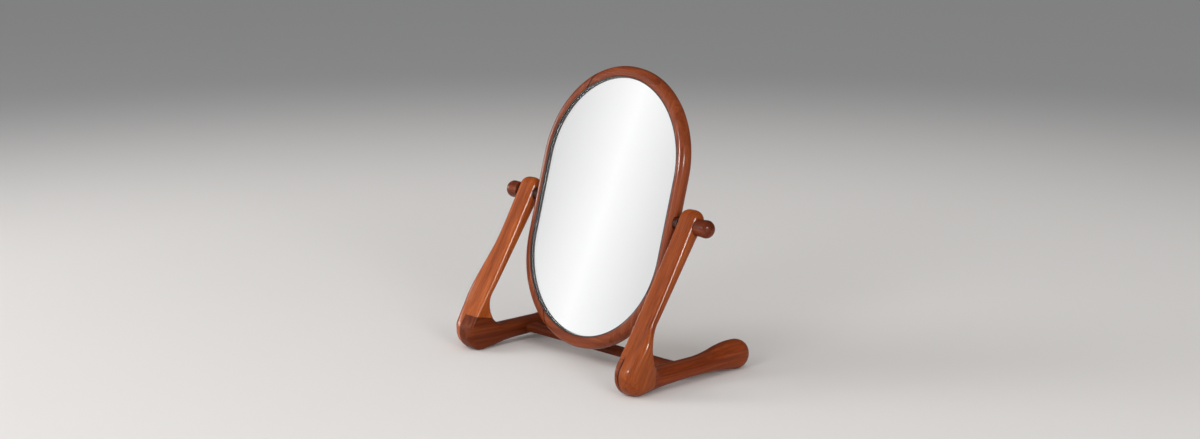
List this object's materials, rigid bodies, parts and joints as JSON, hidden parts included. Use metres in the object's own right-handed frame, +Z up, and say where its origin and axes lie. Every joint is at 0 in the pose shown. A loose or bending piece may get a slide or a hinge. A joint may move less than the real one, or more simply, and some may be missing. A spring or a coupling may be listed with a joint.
{
  "type": "table mirror",
  "caption": "Free-standing wooden table mirror: pill-shaped glass in a slim ring frame that tilts between two V-shaped legs, clamped by turned side knobs.",
  "frame": {"origin": "on the table surface, under the middle of the stand's footprint", "axes": "+Z up, the mirror faces -Y, +X runs along the pivot axis to the right as seen from the front"},
  "size_m": [0.3446, 0.202, 0.344],
  "materials": {
    "post_wood": "oiled, satin, straight grain along the post",
    "foot_wood": "oiled, satin, darker, grain along the foot",
    "frame_wood": "oiled, satin, grain along each segment",
    "knob_wood": "turned, oiled, semi-gloss, dark red-brown",
    "peg_wood": "raw pale hardwood",
    "board": "thin plywood, matt",
    "silvered_glass": "silvered glass",
    "liner": "matt black strip",
    "steel": "plain steel",
    "brass": "plain brass",
    "washer_leather": "dark leather"
  },
  "bodies": {
    "stand": {"left_post": "post_wood", "right_post": "post_wood", "left_foot": "foot_wood", "right_foot": "foot_wood", "stretcher": "foot_wood", "stretcher_dowels": "peg_wood", "left_outer_washer": "washer_leather", "right_outer_washer": "washer_leather"},
    "mirror": {"frame_top": "frame_wood", "frame_bottom": "frame_wood", "frame_left_rail": "frame_wood", "frame_right_rail": "frame_wood", "mirror_glass": "silvered_glass", "glass_liner": "liner", "backing_board": "board", "glazing_sprigs": "steel", "left_insert": "brass", "right_insert": "brass", "left_collar": "knob_wood", "right_collar": "knob_wood", "left_inner_washer": "washer_leather", "right_inner_washer": "washer_leather"},
    "left_screw": {"left_stud": "steel"},
    "right_screw": {"right_stud": "steel"},
    "left_grip": {"left_knob": "knob_wood"},
    "right_grip": {"right_knob": "knob_wood"}
  },
  "joints": [
    {"name": "mirror_tilt", "type": "hinge", "parent": "stand", "child": "mirror", "pos_m": [0, 0.006, 0.1808], "axis": [-1, 0, 0], "range_deg": [-7, 160]},
    {"name": "right_screw_travel", "type": "slide", "parent": "mirror", "child": "right_screw", "axis": [1, 0, 0], "range_m": [0, 0.002]},
    {"name": "right_knob_turn", "type": "hinge", "parent": "right_screw", "child": "right_grip", "pos_m": [0.16, 0.006, 0.1808], "axis": [1, 0, 0], "range_deg": [0, 720]},
    {"name": "left_screw_travel", "type": "slide", "parent": "mirror", "child": "left_screw", "axis": [-1, 0, 0], "range_m": [0, 0.002]},
    {"name": "left_knob_turn", "type": "hinge", "parent": "left_screw", "child": "left_grip", "pos_m": [-0.16, 0.006, 0.1808], "axis": [-1, 0, 0], "range_deg": [0, 720]}
  ],
  "couplings": [
    {"joint": "right_knob_turn", "follows": "right_screw_travel", "rad_per_m": 6283.2},
    {"joint": "left_knob_turn", "follows": "left_screw_travel", "rad_per_m": 6283.2}
  ]
}
